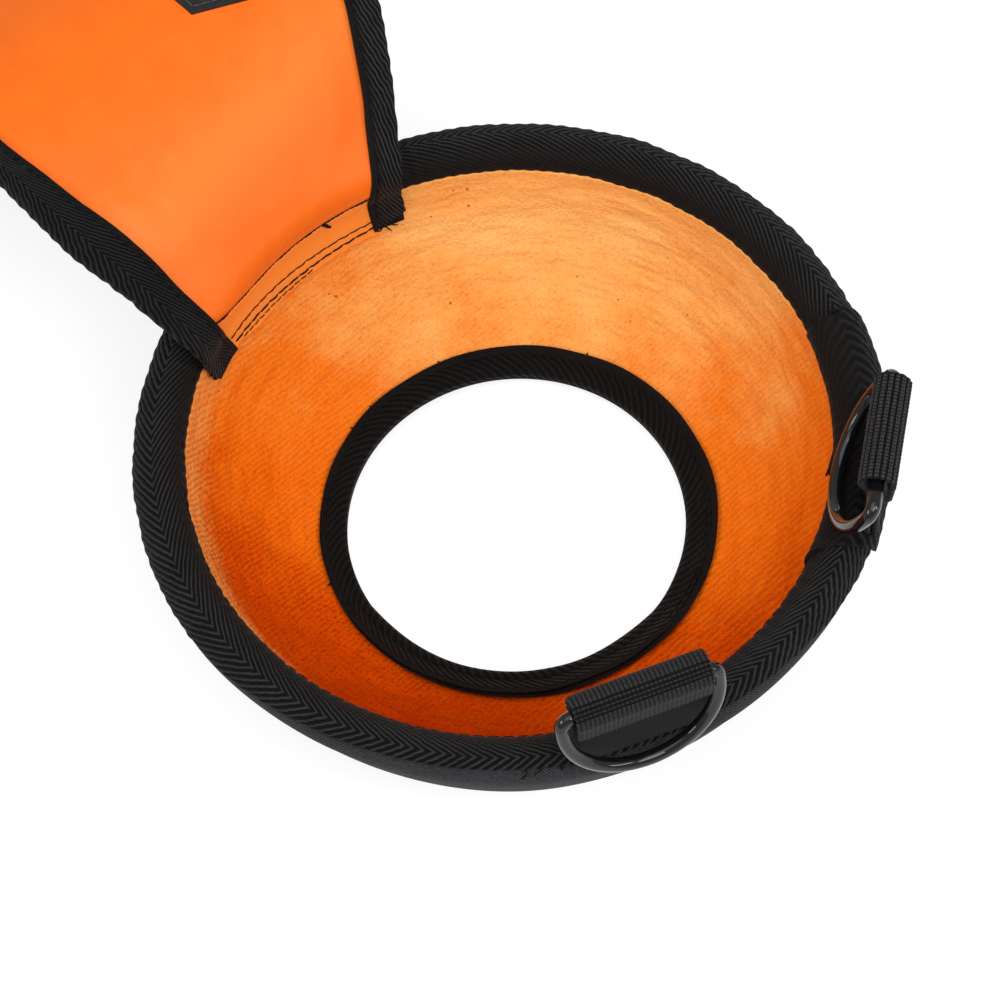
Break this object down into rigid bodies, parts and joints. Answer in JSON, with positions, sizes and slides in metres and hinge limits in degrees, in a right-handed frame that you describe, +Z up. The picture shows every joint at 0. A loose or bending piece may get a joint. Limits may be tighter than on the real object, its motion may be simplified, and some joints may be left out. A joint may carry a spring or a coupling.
{
  "type": "plush-lined cup ring with flared panel",
  "caption": "Plush-lined padded cup ring with a bound leg opening, a flared fabric panel folding at the rim and D-rings hinged in webbing loops.",
  "frame": {"origin": "centre of the leg opening at the base plane", "axes": "+Z up along the opening's axis, out of the bowl; the front D-ring is towards -Y and the panel towards -X +Y"},
  "size_m": [0.2381, 0.2624, 0.0765],
  "materials": {
    "orange_plush": "knitted plush",
    "foam": "soft foam",
    "grey_cloth": "plain weave",
    "orange_nylon": "coated, satin",
    "ring_metal": "gloss black",
    "webbing": "ribbed",
    "thread": "matt",
    "patch_cloth": "plain",
    "binding_tape": "herringbone"
  },
  "bodies": {
    "ring": {"plush_lining": "orange_plush", "foam_pad": "foam", "outer_shell": "grey_cloth", "rim_binding": "binding_tape", "rim_binding_stitching": "thread", "hole_binding": "binding_tape", "hole_binding_stitching": "thread", "rim_cover_tape": "binding_tape", "front_ring_loop": "webbing", "front_loop_stitching": "thread", "side_ring_loop": "webbing", "side_loop_stitching": "thread", "panel_hem": "orange_nylon", "hem_seam_stitching": "thread", "hem_edge_stitching": "thread", "left_binding_tail": "binding_tape", "right_binding_tail": "binding_tape"},
    "front_d_ring_body": {"front_d_ring": "ring_metal"},
    "side_d_ring_body": {"side_d_ring": "ring_metal"},
    "panel": {"panel_face": "orange_nylon", "panel_padding": "foam", "panel_backing": "grey_cloth", "panel_left_binding": "binding_tape", "panel_right_binding": "binding_tape", "panel_end_binding": "binding_tape", "panel_stitching": "thread", "panel_patch": "patch_cloth", "patch_stitching": "thread"}
  },
  "joints": [
    {"name": "front_d_ring_swing", "type": "hinge", "parent": "ring", "child": "front_d_ring_body", "pos_m": [0.02081, -0.07258, 0.064], "axis": [-0.9613, -0.2756, 0], "range_deg": [0, 300]},
    {"name": "side_d_ring_swing", "type": "hinge", "parent": "ring", "child": "side_d_ring_body", "pos_m": [0.07554, -0.02024, 0.064], "axis": [0.2588, 0.9659, 0], "range_deg": [0, 300]},
    {"name": "panel_fold", "type": "hinge", "parent": "ring", "child": "panel", "pos_m": [-0.04255, 0.05071, 0.0465], "axis": [0.766, 0.6428, 0], "range_deg": [0, 90]}
  ]
}
